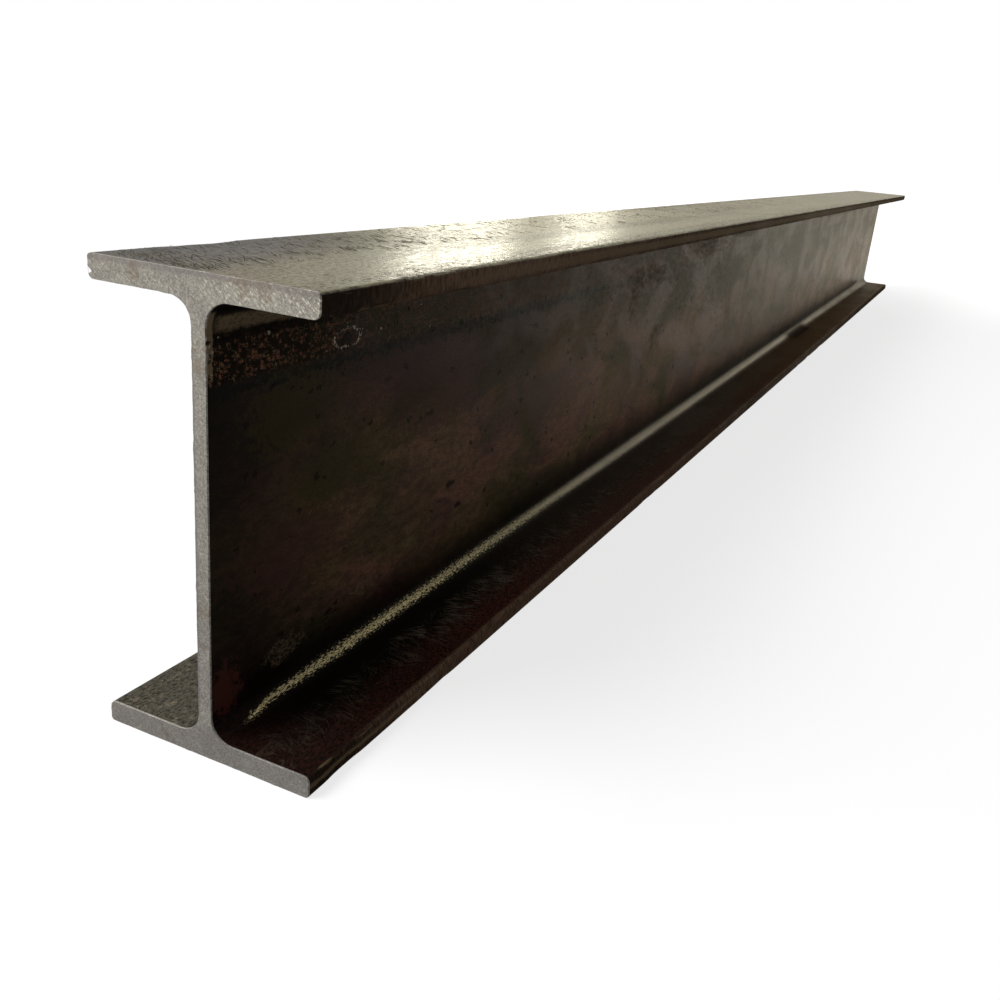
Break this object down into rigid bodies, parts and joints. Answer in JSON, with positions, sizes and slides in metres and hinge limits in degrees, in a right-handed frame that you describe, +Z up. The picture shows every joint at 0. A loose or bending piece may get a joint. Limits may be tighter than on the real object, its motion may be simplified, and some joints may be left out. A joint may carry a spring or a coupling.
{
  "type": "steel h-beam",
  "caption": "Stock length of hot-rolled I-section steel beam with parallel flanges, rounded roots and toes, dark mill scale and bare sawn ends.",
  "frame": {"origin": "on the floor under the middle of the beam, midway between the two sawn ends and under the middle of the web", "axes": "+X along the beam, +Y across the flanges, +Z up the web; the sawn end nearest the viewer in the picture faces -X, and the side of the web that shows faces -Y"},
  "size_m": [1.5, 0.073, 0.14],
  "materials": {
    "mill_scale": "dark grey-brown mill scale, worn brighter on the top flange and in the lower root, with bare grey sawn ends"
  },
  "bodies": {
    "root": {"beam": "mill_scale"}
  },
  "joints": []
}
